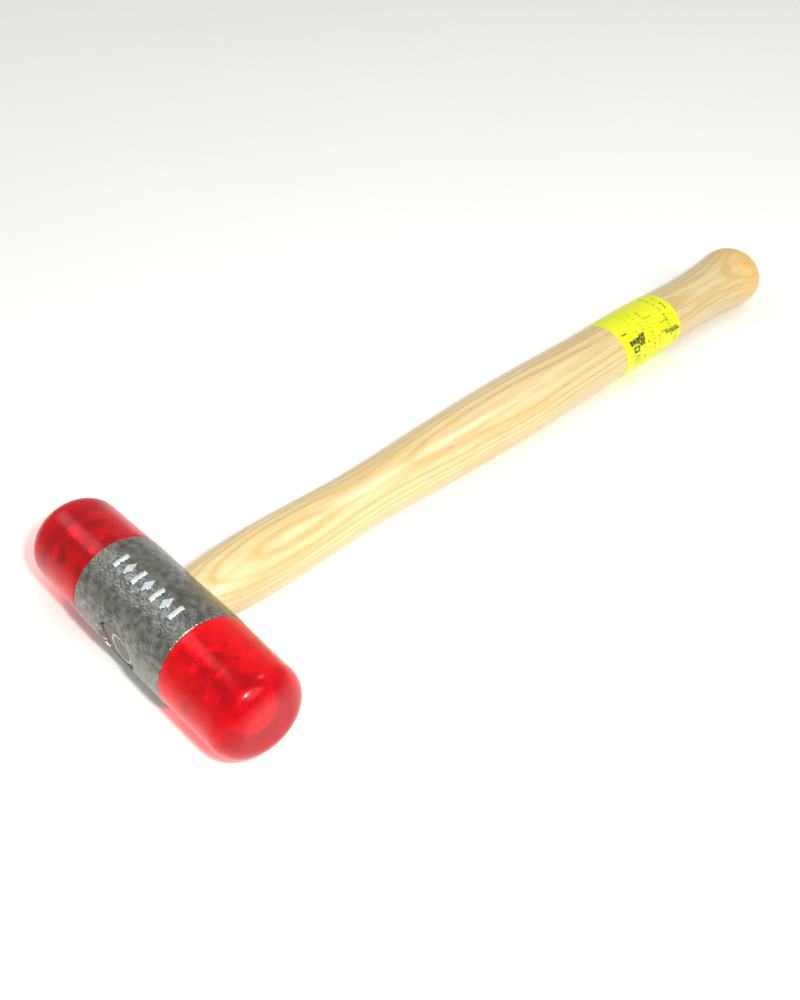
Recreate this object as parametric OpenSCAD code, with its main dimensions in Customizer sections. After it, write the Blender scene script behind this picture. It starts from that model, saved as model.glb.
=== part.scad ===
// Soft face hammer: two screw-in acetate faces in a cast housing, on a turned ash handle.
// The hammer lies on its side on a flat surface. The head runs along X, the handle along +Y.

/* [Head] */
// Diameter of the two acetate striking faces
face_d = 32; // [28:1:36]
// Length of each face in front of the housing
face_l = 31; // [28:1:40]
// Radius that rounds the outer edge of each face
face_edge_r = 9; // [5:0.5:10]
// Diameter of the cast housing
housing_d = 32.4; // [32:0.1:36]
// Length of the cast housing between the two faces
housing_l = 45.5; // [45:0.5:60]
// Chamfer around each end of the housing
housing_chamfer = 0.6; // [0.3:0.1:1]
// Height of the cast marks that stand proud of the housing
mark_h = 0.4; // [0.2:0.1:0.6]
// Number of cast marks in the row
mark_count = 7; // [3:1:7]

/* [Stud] */
// Outside diameter of the stud's screw thread
thread_d = 10; // [8:1:10]
// Length of the thread below the face
thread_l = 10.5; // [8:0.5:10.5]
// Diameter of the anchor head moulded into the face
anchor_d = 12.6; // [11:0.2:14]
// Distance that the stud reaches up inside the face
anchor_l = 20; // [18:1:22]
// Number of collars on the moulded-in shank
collar_count = 2; // [1:1:2]

/* [Handle] */
// Distance from the head's centre to the end of the handle
handle_end = 308; // [300:1:340]
// Depth of the handle's oval section as a share of its width
oval = 0.88; // [0.8:0.01:1]
// Radius of the rounded ends of the eye through the housing
eye_r = 6; // [5:0.1:6.2]
// Distance from the eye's centre to the centre of each rounded end
eye_offset = 2.7; // [1:0.1:3]

/* [Wedge and label] */
// Outside diameter of the ring wedge at its outer end
wedge_d = 10.4; // [8:0.1:10.4]
// Length of the ring wedge
wedge_l = 12; // [8:1:14]
// Distance from the head's centre to the near edge of the label
label_y = 210; // [200:1:230]
// Width of the label along the handle
label_w = 35; // [20:1:40]

/* [Hidden] */
$fn = 96;

face_r = face_d / 2;
housing_r = housing_d / 2;
housing_half = housing_l / 2;

// Screw fit: the thread's crest and the tapped socket, both drawn plain.
screw_gap = 0.05;
thread_r = thread_d / 2 - screw_gap;
socket_r = thread_d / 2;
socket_depth = thread_l + 1;
thread_lead_in = 1;

// The stud's shank inside the face, and the gap around it that the moulding leaves.
mould_gap = 0.06;
shank_r = 3.9;
collar_r = 5.3;
collar_l = 2.6;
collar_pitch = 6.4;
first_collar = 3.4;
anchor_r = anchor_d / 2;
anchor_t = 3;

// Half widths of the handle at stations along it, from the seat in the housing to the butt.
handle_stations = [
    [8, 9.5], [24, 11.4], [42, 12.05], [82, 11.1], [120, 12.5], [155, 13.3],
    [200, 12.75], [235, 12.6], [270, 11.85], [286, 12.75], [handle_end - 11, 13.9]
];
last_station = len(handle_stations) - 1;
steps_per_span = 6;
butt_steps = 10;
seat_y = handle_stations[0][0];
butt_y = handle_stations[last_station][0];
butt_r = handle_stations[last_station][1];

butt_flat_r = 1.5;
butt_dome = [
    for (k = [1:butt_steps]) let (a = 90 * k / butt_steps)
        [butt_flat_r + (butt_r - butt_flat_r) * cos(a), butt_y + (handle_end - butt_y) * sin(a)]
];

// The eye, the tenon that fills it, and the flared mouth where the wood is wedged.
wood_gap = 0.05;
tenon_r = eye_r - wood_gap;
tenon_end_y = -14.9;
flare_r = eye_r + 1.2;
flare_depth = 4;

// The ring wedge: a short tapered steel tube driven into the end grain.
wedge_taper = 0.35;
wedge_wall = 1;
wedge_at = [1.8, 0.2];
wedge_fit = 0.02;

label_t = 0.15;
label_gap = 0.02;
label_steps = 10;

// Cast marks: bars and lozenges in turn, standing along the top of the housing.
mark_pitch = 4.8;
mark_tall = 5.6;
mark_wide = 3.2;
bar_wide = 1.5;
mark_lean = 6;

// The hammer rests on the housing and the butt, so the handle slopes down by this angle.
lay_angle = asin((housing_r - butt_r * oval) / butt_y);
head_y = -(handle_end * cos(lay_angle) - housing_r) / 2;

// Slope of the handle's outline at station i, level where the butt is widest.
function station_slope(i) =
    i == 0 ? rise(0, 1) : i == last_station ? 0 : rise(i - 1, i + 1);
function rise(i, j) =
    (handle_stations[j][1] - handle_stations[i][1]) / (handle_stations[j][0] - handle_stations[i][0]);

// Smooth curve through two neighbouring stations, at share t of the way from station i.
function between(i, t) =
    let (a = handle_stations[i], b = handle_stations[i + 1], span = b[0] - a[0])
    (2 * t^3 - 3 * t^2 + 1) * a[1] + (t^3 - 2 * t^2 + t) * span * station_slope(i)
    + (3 * t^2 - 2 * t^3) * b[1] + (t^3 - t^2) * span * station_slope(i + 1);

// Half width of the handle at distance y, found from the span that holds y.
function half_width(y, i = 0) =
    i < last_station - 1 && y > handle_stations[i + 1][0]
        ? half_width(y, i + 1)
        : between(i, (y - handle_stations[i][0]) / (handle_stations[i + 1][0] - handle_stations[i][0]));

// Head frame: origin at the head's centre, X along the head, Y along the handle.
module in_head() {
    translate([0, head_y, housing_r])
        rotate([-lay_angle, 0, 0])
            children();
}

// Stands children, drawn up +Z, on one end of the housing; side is 1 for front, -1 for back.
module on_end(side) {
    in_head()
        rotate([0, side * 90, 0])
            translate([0, 0, housing_half])
                children();
}

// Lays children, drawn up +Z, along the handle.
module along_handle() {
    in_head()
        rotate([-90, 0, 0])
            children();
}

// Obround prism or flared obround along +Z, with end radii r1 and r2.
module obround(r1, r2, l) {
    for (side = [-1, 1])
        translate([side * eye_offset, 0, 0])
            cylinder(r1 = r1, r2 = r2, h = l);
    rotate([90, 0, 90])
        translate([0, 0, -eye_offset])
            linear_extrude(2 * eye_offset)
                polygon([[-r1, 0], [r1, 0], [r2, l], [-r2, l]]);
}

// Solid of the handle between two distances along it, grown outwards by extra and closed by an end.
// The section is oval. Each half is squeezed by itself, so each curved surface covers half a turn.
module handle_turning(from, to, steps, extra = 0, end = []) {
    for (half = [0, 180])
        scale([1, oval, 1])
            rotate([0, 0, half])
                rotate_extrude(angle = 180)
                    polygon([
                        [0, from],
                        for (k = [0:steps]) let (y = from + (to - from) * k / steps)
                            [half_width(y) + extra, y],
                        each end,
                        [0, len(end) > 0 ? handle_end : to]
                    ]);
}

// Outline of one cast mark: even ones are bars and odd ones are lozenges.
module mark_outline(i) {
    if (i % 2 == 0)
        square([bar_wide, mark_tall], center = true);
    else
        polygon([[-mark_wide / 2, 0], [0, -mark_tall / 2], [mark_wide / 2, 0], [0, mark_tall / 2]]);
}

// Row of raised cast marks on the upper side of the housing, in the head frame.
module cast_marks() {
    intersection() {
        rotate([0, 90, 0])
            cylinder(r = housing_r + mark_h, h = housing_l, center = true);
        rotate([mark_lean, 0, 0])
            for (i = [0:mark_count - 1])
                translate([(i - (mark_count - 1) / 2) * mark_pitch, 0, housing_r - 1])
                    linear_extrude(mark_h + 2)
                        mark_outline(i);
    }
}

module head_housing() {
    color([0.52, 0.52, 0.49])
        difference() {
            union() {
                in_head() {
                    rotate([0, 90, 0])
                        rotate_extrude()
                            polygon([
                                [0, -housing_half],
                                [housing_r - housing_chamfer, -housing_half],
                                [housing_r, -housing_half + housing_chamfer],
                                [housing_r, housing_half - housing_chamfer],
                                [housing_r - housing_chamfer, housing_half],
                                [0, housing_half]
                            ]);
                    cast_marks();
                }
            }
            for (side = [-1, 1])
                on_end(side)
                    translate([0, 0, -socket_depth])
                        cylinder(r = socket_r, h = socket_depth + 1);
            along_handle()
                translate([0, 0, -housing_r - 1])
                    obround(eye_r, eye_r, housing_r + 1 + seat_y + 1);
            along_handle()
                translate([0, 0, -housing_r])
                    obround(flare_r, eye_r, flare_depth);
            along_handle()
                handle_turning(seat_y, housing_r + 4, 4, wood_gap);
        }
}

// One acetate face, hollow only where the stud is moulded in.
module acetate_face(side) {
    flat_r = face_r - face_edge_r;
    color([0.9, 0, 0.07])
        on_end(side)
            difference() {
                rotate_extrude()
                    polygon([
                        [0, 0],
                        [face_r - 0.4, 0],
                        [face_r, 0.4],
                        for (a = [0:6:90])
                            [flat_r + face_edge_r * cos(a), face_l - face_edge_r + face_edge_r * sin(a)],
                        [0, face_l]
                    ]);
                translate([0, 0, -mould_gap])
                    cylinder(r = shank_r + mould_gap, h = anchor_l);
                stud_rings(mould_gap);
            }
}

module front_face() acetate_face(1);
module back_face() acetate_face(-1);

// Collars and anchor head around the stud's shank, grown by extra.
module stud_rings(extra) {
    for (i = [0:collar_count - 1])
        translate([0, 0, first_collar + i * collar_pitch - extra])
            cylinder(r = collar_r + extra, h = collar_l + 2 * extra);
    translate([0, 0, anchor_l - anchor_t - extra])
        cylinder(r = anchor_r + extra, h = anchor_t + 2 * extra);
}

// One steel stud: thread below the face, shank, collars and anchor head inside it.
module steel_stud(side) {
    color([0.75, 0.72, 0.66])
        on_end(side) {
            translate([0, 0, -thread_l])
                cylinder(r1 = thread_r - thread_lead_in, r2 = thread_r, h = thread_lead_in);
            translate([0, 0, thread_lead_in - thread_l])
                cylinder(r = thread_r, h = thread_l - thread_lead_in - mould_gap);
            translate([0, 0, -1])
                cylinder(r = shank_r, h = anchor_l);
            stud_rings(0);
        }
}

module front_stud() steel_stud(1);
module back_stud() steel_stud(-1);

// The ring wedge's taper, grown by extra, from its inner end to its outer end.
module wedge_body(extra) {
    translate([wedge_at[0], wedge_at[1], tenon_end_y - extra])
        difference() {
            cylinder(r1 = wedge_d / 2 + extra, r2 = wedge_d / 2 - wedge_taper + extra, h = wedge_l + extra);
            translate([0, 0, -1])
                cylinder(r = wedge_d / 2 - wedge_wall - extra, h = wedge_l + 3);
        }
}

module handle() {
    color([0.93, 0.82, 0.6])
        difference() {
            union() {
                along_handle()
                    handle_turning(seat_y, butt_y, last_station * steps_per_span, 0, butt_dome);
                along_handle()
                    translate([0, 0, tenon_end_y])
                        obround(tenon_r, tenon_r, seat_y - tenon_end_y + 1);
            }
            along_handle()
                wedge_body(wedge_fit);
        }
}

module ring_wedge() {
    color([0.6, 0.6, 0.6])
        along_handle()
            wedge_body(0);
}

module label() {
    color([0.93, 1, 0])
        along_handle()
            difference() {
                handle_turning(label_y, label_y + label_w, label_steps, label_gap + label_t);
                handle_turning(label_y - 1, label_y + label_w + 1, label_steps, label_gap);
            }
}

head_housing();
front_face();
back_face();
front_stud();
back_stud();
handle();
ring_wedge();
label();
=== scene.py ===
"""A soft face hammer, built in the order in which it is put together.

The head runs along X, the handle along +Y, and the hammer lies on its side on a table.
"""
import math

import bmesh
import bpy
import numpy as np
from mathutils import Matrix, Vector, noise


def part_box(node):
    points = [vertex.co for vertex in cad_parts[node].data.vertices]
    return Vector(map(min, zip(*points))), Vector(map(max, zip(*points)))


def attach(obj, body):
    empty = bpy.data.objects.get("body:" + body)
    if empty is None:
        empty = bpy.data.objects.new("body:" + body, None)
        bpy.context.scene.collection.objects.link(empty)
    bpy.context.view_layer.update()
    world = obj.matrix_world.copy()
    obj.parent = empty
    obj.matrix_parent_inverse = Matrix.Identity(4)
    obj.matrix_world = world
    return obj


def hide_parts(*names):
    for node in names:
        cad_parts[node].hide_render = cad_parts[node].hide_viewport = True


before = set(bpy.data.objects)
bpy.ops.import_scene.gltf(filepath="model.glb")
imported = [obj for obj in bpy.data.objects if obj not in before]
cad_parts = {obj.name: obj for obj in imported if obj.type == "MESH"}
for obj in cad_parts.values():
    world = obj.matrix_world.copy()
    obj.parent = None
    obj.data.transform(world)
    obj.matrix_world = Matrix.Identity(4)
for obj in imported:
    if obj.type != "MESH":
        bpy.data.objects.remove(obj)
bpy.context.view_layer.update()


# ---------------------------------------------------------------------------------------------
# Housing. A malleable iron casting, zinc plated, with its two ends faced and tapped in a lathe.
# The handle's eye is cored through it from side to side, and its mouth flares at the front.
# A row of raised foundry marks runs along its upper side.
# ---------------------------------------------------------------------------------------------
MM = 0.001
face_low, face_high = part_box("front_face")
casting_low, casting_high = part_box("head_housing")
head_centre = Vector((0, (face_low.y + face_high.y) / 2, (face_low.z + face_high.z) / 2))
casting_half = (casting_high.x - casting_low.x) / 2
casting_radius = head_centre.z
butt_half_width = 13.9 * MM
butt_station = 297 * MM
handle_oval = 0.88
lie = math.asin((casting_radius - butt_half_width * handle_oval) / butt_station)
head_to_row = Matrix.Translation(head_centre) @ Matrix.Rotation(-lie, 4, "X")
along_y = Matrix.Rotation(math.radians(-90), 4, "X")

SOCKET_RADIUS = 5.0 * MM
SOCKET_DEPTH = 11.5 * MM
SOCKET_COUNTERSINK = 0.6 * MM
END_ROUNDING = 0.6 * MM
SKIN_RING_STEP = 0.6 * MM
SKIN_SIDES = 180
SKIN_UNEVENNESS = 0.035 * MM
SKIN_WAVE = 2.4 * MM
EYE_RADIUS = 6.0 * MM
EYE_OFFSET = 2.7 * MM
EYE_MOUTH_FLARE = 1.3 * MM
EYE_MOUTH_DEPTH = 4.2 * MM
SEAT_STATION = 8 * MM
MARK_COUNT = 7
MARK_PITCH = 4.8 * MM
MARK_TALL = 5.6 * MM
MARK_HEIGHT = 0.4 * MM
BAR_WIDTH = 1.5 * MM
LOZENGE_WIDTH = 3.2 * MM
MARK_EDGE = 0.55 * MM
MARK_LEAN = math.radians(6)
# Heights above the skin where the rubbed, painted-sheen tops of the marks begin and are full.
WORN_SHEEN_START = 0.12 * MM
WORN_SHEEN_FULL = 0.3 * MM


def mesh_piece(name, points, faces, matrix=head_to_row):
    """A mesh object from points in the head's frame, put where the row has it."""
    mesh = bpy.data.meshes.new(name)
    mesh.from_pydata([tuple(p) for p in points], [], faces)
    mesh.transform(matrix)
    mesh.validate()
    piece = bpy.data.objects.new(name, mesh)
    bpy.context.scene.collection.objects.link(piece)
    return piece


def turned(outline, sides, axis=Matrix.Identity(4)):
    """Points and faces of a solid turned about local Z from (radius, height) pairs."""
    points, rings = [], []
    for radius, height in outline:
        if radius == 0:
            rings.append([len(points)])
            points.append(axis @ Vector((0, 0, height)))
            continue
        rings.append(list(range(len(points), len(points) + sides)))
        for k in range(sides):
            a = 2 * math.pi * k / sides
            points.append(axis @ Vector((radius * math.cos(a), radius * math.sin(a), height)))
    faces = []
    for low, high in zip(rings, rings[1:]):
        for k in range(sides):
            j = (k + 1) % sides
            if len(low) == 1:
                faces.append((low[0], high[j], high[k]))
            elif len(high) == 1:
                faces.append((low[k], low[j], high[0]))
            else:
                faces.append((low[k], low[j], high[j], high[k]))
    return points, faces


def rounded(corner_radius, centre_r, centre_h, start, stop, steps):
    """Outline points round a corner, from one angle to another, in degrees from outwards."""
    turn = [math.radians(start + (stop - start) * k / steps) for k in range(steps + 1)]
    return [
        (centre_r + corner_radius * math.cos(a), centre_h + corner_radius * math.sin(a))
        for a in turn
    ]


def outwards(piece):
    """Merges doubled points and turns every face outwards."""
    made = bmesh.new()
    made.from_mesh(piece.data)
    bmesh.ops.remove_doubles(made, verts=made.verts, dist=0.002 * MM)
    bmesh.ops.recalc_face_normals(made, faces=made.faces)
    made.to_mesh(piece.data)
    made.free()


def combine(piece, other, operation):
    """Joins, cuts or overlaps two closed solids, and keeps only the first."""
    step = piece.modifiers.new(operation, "BOOLEAN")
    step.operation = operation
    step.solver = "EXACT"
    step.object = other
    bake_modifiers(piece)
    bpy.data.objects.remove(other)


def bake_modifiers(piece):
    """Makes what the modifiers show into the piece's own plain mesh."""
    shown = piece.evaluated_get(bpy.context.evaluated_depsgraph_get())
    mesh = bpy.data.meshes.new_from_object(shown)
    piece.modifiers.clear()
    piece.data = mesh


def smooth(piece, sharp_degrees):
    """Smooth shading, with edges sharper than the angle left crisp."""
    piece.data.shade_smooth()
    piece.data.set_sharp_from_angle(angle=math.radians(sharp_degrees))


def finish_with(piece, material):
    """One material over the whole piece."""
    piece.data.materials.clear()
    piece.data.materials.append(material)
    piece.data.polygons.foreach_set("material_index", [0] * len(piece.data.polygons))


def node_tree(name, kind, inputs, outputs):
    """A new node group with named sockets: (name, type, default) for each input."""
    tree = bpy.data.node_groups.new(name, kind)
    for label, socket, default in inputs:
        made = tree.interface.new_socket(label, in_out="INPUT", socket_type=socket)
        if default is not None:
            made.default_value = default
    for label, socket in outputs:
        tree.interface.new_socket(label, in_out="OUTPUT", socket_type=socket)
    tree.nodes.new("NodeGroupInput")
    tree.nodes.new("NodeGroupOutput")
    return tree


class Wiring:
    """Adds nodes to a tree and links them, with plain numbers or sockets as inputs."""

    def __init__(self, tree):
        self.tree = tree
        groups = {n.bl_idname: n for n in tree.nodes}
        self.given = groups.get("NodeGroupInput")
        self.result = groups.get("NodeGroupOutput")

    def add(self, kind, inputs=(), **settings):
        node = self.tree.nodes.new(kind)
        for key, value in settings.items():
            setattr(node, key, value)
        for key, value in dict(inputs).items():
            self.feed(node.inputs[key], value)
        return node

    def feed(self, socket, value):
        if isinstance(value, bpy.types.NodeSocket):
            self.tree.links.new(value, socket)
        elif isinstance(value, bpy.types.Node):
            self.tree.links.new(value.outputs[0], socket)
        else:
            socket.default_value = value

    def maths(self, operation, *values):
        node = self.tree.nodes.new("ShaderNodeMath")
        node.operation = operation
        for socket, value in zip(node.inputs, values):
            self.feed(socket, value)
        return node.outputs[0]

    def blend(self, share, low, high):
        """A colour between two colours."""
        node = self.add("ShaderNodeMix", data_type="RGBA")
        self.feed(node.inputs["Factor"], share)
        self.feed(node.inputs[6], low)
        self.feed(node.inputs[7], high)
        return node.outputs[2]

    def ramp(self, value, *stops):
        """A value remapped through (position, grey) stops."""
        node = self.tree.nodes.new("ShaderNodeValToRGB")
        band = node.color_ramp
        while len(band.elements) < len(stops):
            band.elements.new(0.5)
        for element, (position, grey) in zip(band.elements, stops):
            element.position = position
            element.color = (grey, grey, grey, 1)
        self.feed(node.inputs[0], value)
        return node.outputs[0]

    def end(self, **values):
        for key, value in values.items():
            self.feed(self.result.inputs[key.replace("_", " ")], value)


def modifier_inputs(piece, tree, values):
    """Puts a geometry tree on a piece and sets its inputs by their identifiers."""
    made = piece.modifiers.new(tree.name, "NODES")
    made.node_group = tree
    identifiers = {
        item.name: item.identifier
        for item in tree.interface.items_tree
        if item.item_type == "SOCKET" and item.in_out == "INPUT"
    }
    for key, value in values.items():
        made[identifiers[key]] = value


def blank_piece(name):
    """An object with an empty mesh, for a geometry tree to fill."""
    piece = bpy.data.objects.new(name, bpy.data.meshes.new(name))
    bpy.context.scene.collection.objects.link(piece)
    return piece


def new_material(name):
    """A material with a bare Principled shader, its wiring, and the object's coordinates."""
    material = bpy.data.materials.new(name)
    material.use_nodes = True
    wire = Wiring(material.node_tree)
    shader = material.node_tree.nodes["Principled BSDF"]
    place = wire.add("ShaderNodeTexCoord").outputs["Object"]
    return material, wire, shader, place


def handling_marks_group():
    """Faint smudges and short fine scratches, shared by every hard finish on the hammer."""
    tree = node_tree(
        "handling_marks",
        "ShaderNodeTree",
        [
            ("Vector", "NodeSocketVector", None),
            ("Smudge Size", "NodeSocketFloat", 60.0),
            ("Scratch Size", "NodeSocketFloat", 900.0),
            ("Scratch Stretch", "NodeSocketFloat", 14.0),
        ],
        [("Smudge", "NodeSocketFloat"), ("Scratch", "NodeSocketFloat")],
    )
    wire = Wiring(tree)
    given = wire.given.outputs
    cloud = wire.add(
        "ShaderNodeTexNoise",
        {"Vector": given["Vector"], "Scale": given["Smudge Size"], "Detail": 4.0, "Roughness": 0.6},
    )
    smudge = wire.ramp(cloud.outputs[0], (0.42, 0.0), (0.72, 1.0))
    turned_place = wire.add(
        "ShaderNodeMapping", {"Vector": given["Vector"], "Rotation": (0.3, 0.5, 0.7)}
    )
    squeeze = wire.add("ShaderNodeCombineXYZ", {"X": 1.0, "Z": 1.0})
    wire.feed(squeeze.inputs["Y"], wire.maths("DIVIDE", 1.0, given["Scratch Stretch"]))
    long_place = wire.add("ShaderNodeVectorMath", operation="MULTIPLY")
    wire.feed(long_place.inputs[0], turned_place)
    wire.feed(long_place.inputs[1], squeeze)
    hair = wire.add(
        "ShaderNodeTexNoise",
        {"Vector": long_place.outputs[0], "Scale": given["Scratch Size"], "Detail": 2.0},
    )
    scratch = wire.ramp(hair.outputs[0], (0.64, 0.0), (0.7, 1.0))
    wire.end(Smudge=smudge, Scratch=scratch)
    return tree


handling_marks = handling_marks_group()


def add_marks(wire, place, smudge_size=60.0, scratch_size=900.0):
    """Places the shared handling marks in a material."""
    node = wire.add("ShaderNodeGroup", node_tree=handling_marks)
    wire.feed(node.inputs["Vector"], place)
    wire.feed(node.inputs["Smudge Size"], smudge_size)
    wire.feed(node.inputs["Scratch Size"], scratch_size)
    return node


def zinc_casting_material():
    """Zinc plating over the grainy skin left by the sand mould; the raised marks' tops are rubbed and
    carry a painted pale bluish sheen.
    """
    material, wire, shader, place = new_material("zinc_casting")
    cell_values = {"Vector": place, "Scale": 1250.0, "Smoothness": 0.3}
    cells = wire.add("ShaderNodeTexVoronoi", cell_values, feature="SMOOTH_F1")
    grain = wire.add("ShaderNodeTexNoise", {"Vector": place, "Scale": 2600.0, "Detail": 2.0})
    patches = wire.add("ShaderNodeTexNoise", {"Vector": place, "Scale": 420.0, "Detail": 4.0})
    film = wire.add("ShaderNodeTexNoise", {"Vector": place, "Scale": 120.0, "Detail": 3.0})
    marks = add_marks(wire, place)
    patchy = wire.ramp(patches, (0.35, 0.0), (0.65, 1.0))
    grey = wire.blend(patchy, (0.15, 0.15, 0.145, 1), (0.34, 0.34, 0.32, 1))
    filmed = wire.ramp(film, (0.45, 0.0), (0.65, 0.5))
    olive = wire.blend(filmed, grey, (0.22, 0.22, 0.165, 1))
    shift = wire.add("ShaderNodeVectorMath", operation="SUBTRACT")
    wire.feed(shift.inputs[0], place)
    shift.inputs[1].default_value = head_centre
    spot = wire.add("ShaderNodeSeparateXYZ", {"Vector": shift.outputs[0]})
    square_y = wire.maths("POWER", spot.outputs["Y"], 2.0)
    square_z = wire.maths("POWER", spot.outputs["Z"], 2.0)
    from_axis = wire.maths("SQRT", wire.maths("ADD", square_y, square_z))
    # The raised marks' tops turn pale bluish and less metallic: partly rubbed metal, partly a painted
    # sheen of reflected light.
    proud = wire.add("ShaderNodeMapRange", {"Value": from_axis}, interpolation_type="SMOOTHSTEP")
    proud.inputs["From Min"].default_value = casting_radius + WORN_SHEEN_START
    proud.inputs["From Max"].default_value = casting_radius + WORN_SHEEN_FULL
    uneven = wire.ramp(grain.outputs[0], (0.3, 0.45), (0.5, 1.0))
    worn_and_sheen = wire.maths("MULTIPLY", proud.outputs[0], uneven)
    wire.feed(shader.inputs["Base Color"], wire.blend(worn_and_sheen, olive, (0.56, 0.63, 0.66, 1)))
    sheen_dulled = wire.maths("MULTIPLY", worn_and_sheen, 0.6)
    wire.feed(shader.inputs["Metallic"], wire.maths("SUBTRACT", 1.0, sheen_dulled))
    rough = wire.maths("MULTIPLY_ADD", wire.ramp(patches, (0.3, 0.0), (0.7, 1.0)), 0.1, 0.2)
    rough = wire.maths("MULTIPLY_ADD", worn_and_sheen, 0.15, rough)
    rough = wire.maths("MULTIPLY_ADD", marks.outputs["Smudge"], 0.08, rough)
    wire.feed(shader.inputs["Roughness"], rough)
    height = wire.maths("MULTIPLY_ADD", grain.outputs[0], 0.55, cells.outputs["Distance"])
    bump = wire.add("ShaderNodeBump", {"Strength": 1.0, "Distance": 0.16 * MM, "Height": height})
    wire.feed(shader.inputs["Normal"], bump)
    return material


def cast_marks_tree():
    """Bars and lozenges in turn along X, with sloping sides, bent round the casting's skin."""
    tree = node_tree(
        "cast_marks",
        "GeometryNodeTree",
        [
            ("Geometry", "NodeSocketGeometry", None),
            ("Count", "NodeSocketInt", 7),
            ("Pitch", "NodeSocketFloat", 0.005),
            ("Tall", "NodeSocketFloat", 0.005),
            ("Bar Width", "NodeSocketFloat", 0.0015),
            ("Lozenge Width", "NodeSocketFloat", 0.003),
            ("Height", "NodeSocketFloat", 0.0004),
            ("Edge", "NodeSocketFloat", 0.0005),
            ("Skin Radius", "NodeSocketFloat", 0.016),
            ("Lean", "NodeSocketFloat", 0.1),
            ("Material", "NodeSocketMaterial", None),
        ],
        [("Geometry", "NodeSocketGeometry")],
    )
    wire = Wiring(tree)
    given = wire.given.outputs
    depth, sunk = 1.0 * MM, 0.08 * MM

    def pad(width, slanted):
        """One mark: a fine block whose top rises from the sunk rim to the full height."""
        size = wire.add("ShaderNodeCombineXYZ", {"Z": depth})
        wire.feed(size.inputs["X"], wire.maths("MULTIPLY_ADD", given["Edge"], 2.0, width))
        wire.feed(size.inputs["Y"], wire.maths("MULTIPLY_ADD", given["Edge"], 2.0, given["Tall"]))
        block = wire.add(
            "GeometryNodeMeshCube", {"Size": size, "Vertices X": 30, "Vertices Y": 50, "Vertices Z": 2}
        )
        place = wire.add("ShaderNodeSeparateXYZ", {"Vector": wire.add("GeometryNodeInputPosition")})
        across = wire.maths("ABSOLUTE", place.outputs["X"])
        up = wire.maths("ABSOLUTE", place.outputs["Y"])
        half_width = wire.maths("MULTIPLY", width, 0.5)
        half_tall = wire.maths("MULTIPLY", given["Tall"], 0.5)
        if slanted:
            share_across = wire.maths("DIVIDE", across, half_width)
            share_up = wire.maths("DIVIDE", up, half_tall)
            reach = wire.maths("ADD", share_across, share_up)
            spread = wire.maths("MULTIPLY", half_width, 0.87)
            inside = wire.maths("MULTIPLY", wire.maths("SUBTRACT", 1.0, reach), spread)
        else:
            side_gap = wire.maths("SUBTRACT", half_width, across)
            end_gap = wire.maths("SUBTRACT", half_tall, up)
            inside = wire.maths("SMOOTH_MIN", side_gap, end_gap, 0.3 * MM)
        rise = wire.add("ShaderNodeMapRange", {"Value": inside}, interpolation_type="SMOOTHSTEP")
        wire.feed(rise.inputs["From Min"], wire.maths("MULTIPLY", given["Edge"], -0.8))
        wire.feed(rise.inputs["From Max"], wire.maths("MULTIPLY", given["Edge"], 0.6))
        wire.feed(rise.inputs["To Min"], -sunk)
        wire.feed(rise.inputs["To Max"], given["Height"])
        is_top = wire.maths("GREATER_THAN", place.outputs["Z"], 0.0)
        lift = wire.maths("ADD", wire.maths("MULTIPLY", is_top, rise.outputs[0]), -depth / 2)
        raised = wire.add("GeometryNodeSetPosition", {"Geometry": block.outputs["Mesh"]})
        wire.feed(raised.inputs["Offset"], wire.add("ShaderNodeCombineXYZ", {"Z": lift}))
        return raised.outputs[0]

    gaps = wire.maths("SUBTRACT", given["Count"], 1.0)
    start = wire.maths("MULTIPLY", gaps, wire.maths("MULTIPLY", given["Pitch"], -0.5))
    row = wire.add("GeometryNodeMeshLine", {"Count": given["Count"]}, mode="OFFSET")
    wire.feed(row.inputs["Start Location"], wire.add("ShaderNodeCombineXYZ", {"X": start}))
    wire.feed(row.inputs["Offset"], wire.add("ShaderNodeCombineXYZ", {"X": given["Pitch"]}))
    kinds = wire.add("GeometryNodeGeometryToInstance")
    wire.feed(kinds.inputs[0], pad(given["Lozenge Width"], True))
    wire.feed(kinds.inputs[0], pad(given["Bar Width"], False))
    turn = wire.maths("MODULO", wire.add("GeometryNodeInputIndex"), 2.0)
    placed = wire.add(
        "GeometryNodeInstanceOnPoints",
        {"Points": row, "Instance": kinds, "Pick Instance": True, "Instance Index": turn},
    )
    solid = wire.add("GeometryNodeRealizeInstances", {"Geometry": placed})
    flat = wire.add("ShaderNodeSeparateXYZ", {"Vector": wire.add("GeometryNodeInputPosition")})
    bend = wire.maths("DIVIDE", flat.outputs["Y"], given["Skin Radius"])
    angle = wire.maths("SUBTRACT", bend, given["Lean"])
    radius = wire.maths("ADD", given["Skin Radius"], flat.outputs["Z"])
    bent = wire.add("ShaderNodeCombineXYZ", {"X": flat.outputs["X"]})
    wire.feed(bent.inputs["Y"], wire.maths("MULTIPLY", radius, wire.maths("SINE", angle)))
    wire.feed(bent.inputs["Z"], wire.maths("MULTIPLY", radius, wire.maths("COSINE", angle)))
    curved = wire.add("GeometryNodeSetPosition", {"Geometry": solid, "Position": bent})
    dressed = wire.add("GeometryNodeSetMaterial", {"Geometry": curved, "Material": given["Material"]})
    wire.end(Geometry=dressed)
    return tree


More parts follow.
